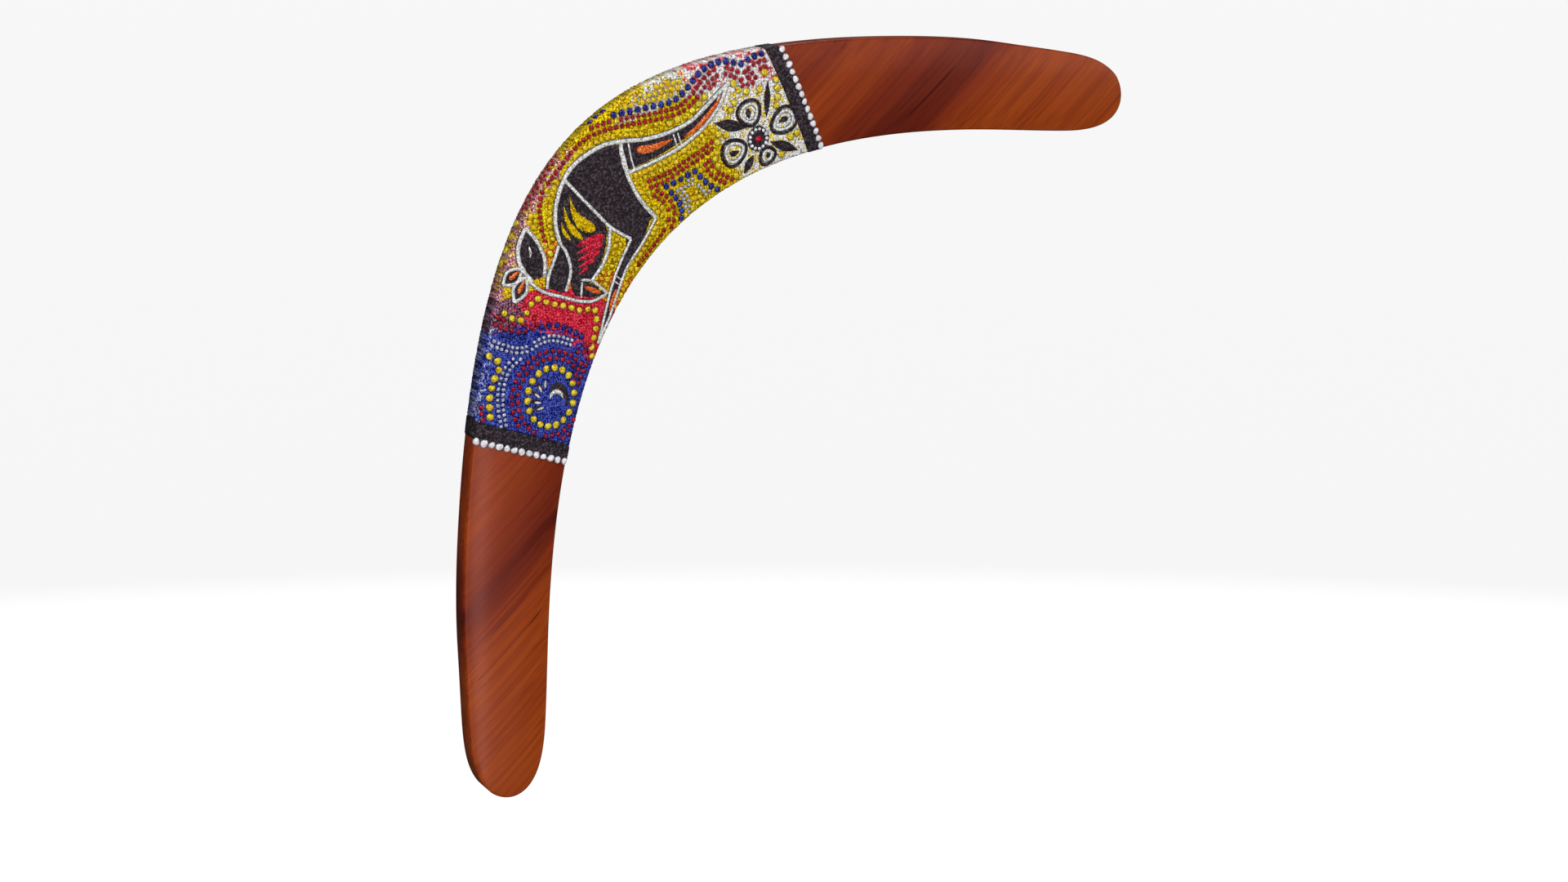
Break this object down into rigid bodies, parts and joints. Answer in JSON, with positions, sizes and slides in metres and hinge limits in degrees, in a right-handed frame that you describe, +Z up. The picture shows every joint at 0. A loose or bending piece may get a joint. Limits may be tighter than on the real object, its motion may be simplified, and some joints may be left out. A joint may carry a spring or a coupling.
{
  "type": "boomerang",
  "caption": "Flat-backed wooden throwing stick with a crowned face, rounded tips and a raised dot-painted elbow showing a leaping animal, a rosette and a ring motif.",
  "frame": {"origin": "centre of the object's bounding box", "axes": "+Z up and +X to the right across the painted face, which looks towards -Y; the flat back faces +Y"},
  "size_m": [0.3464, 0.011, 0.3154],
  "materials": {
    "wood": "reddish brown plank under satin varnish, streaked along the grain",
    "gold": "glittery gold relief paint, finely crumpled",
    "red": "glittery crimson relief paint",
    "blue": "glittery deep blue relief paint",
    "silver": "glittery silver white relief paint",
    "black": "black relief paint with fine drawn ridges",
    "orange": "pearly orange relief paint",
    "dark_red": "dark red glossy paint drops",
    "bead_white": "white glossy paint drops"
  },
  "bodies": {
    "root": {"wood_blank": "wood", "gold_ground": "gold", "red_ground": "red", "blue_ground": "blue", "silver_ground": "silver", "lower_border_band": "black", "upper_border_band": "black", "lower_border_beads": "bead_white", "upper_border_beads": "bead_white", "haunch_fill": "black", "chest_fill": "black", "neck_fill": "black", "head_fill": "black", "ear_fills": "black", "hind_leg_fill": "black", "foreleg_fill": "black", "tail_fill": "black", "body_contour": "silver", "leg_contours": "silver", "head_contour": "silver", "ear_contours": "silver", "cross_bars": "silver", "eye_mark": "silver", "chest_gold_strokes": "gold", "chest_red_strokes": "red", "tail_orange_strokes": "orange", "ear_orange_strokes": "orange", "paw_orange_strokes": "orange", "petal_outlines": "black", "petal_scrolls": "silver", "petal_hearts": "black", "flower_leaves": "black", "flower_centre": "black", "flower_heart": "red", "flower_centre_dots": "bead_white", "ring_gold_dots": "gold", "ring_shadows": "black", "ring_crescent": "silver", "ring_silver_drops": "silver", "ring_red_dots": "dark_red", "top_blue_dots": "blue", "inner_blue_dots": "blue", "low_blue_dots": "blue", "top_red_dots": "dark_red", "inner_red_dots": "dark_red", "low_red_dots": "dark_red", "silver_chain_dots": "silver", "inner_silver_dots": "silver", "meadow_gold_dots": "gold", "flower_gold_dots": "gold", "side_gold_dots": "gold", "upper_field_dots": "black", "lower_field_dots": "black"}
  },
  "joints": []
}
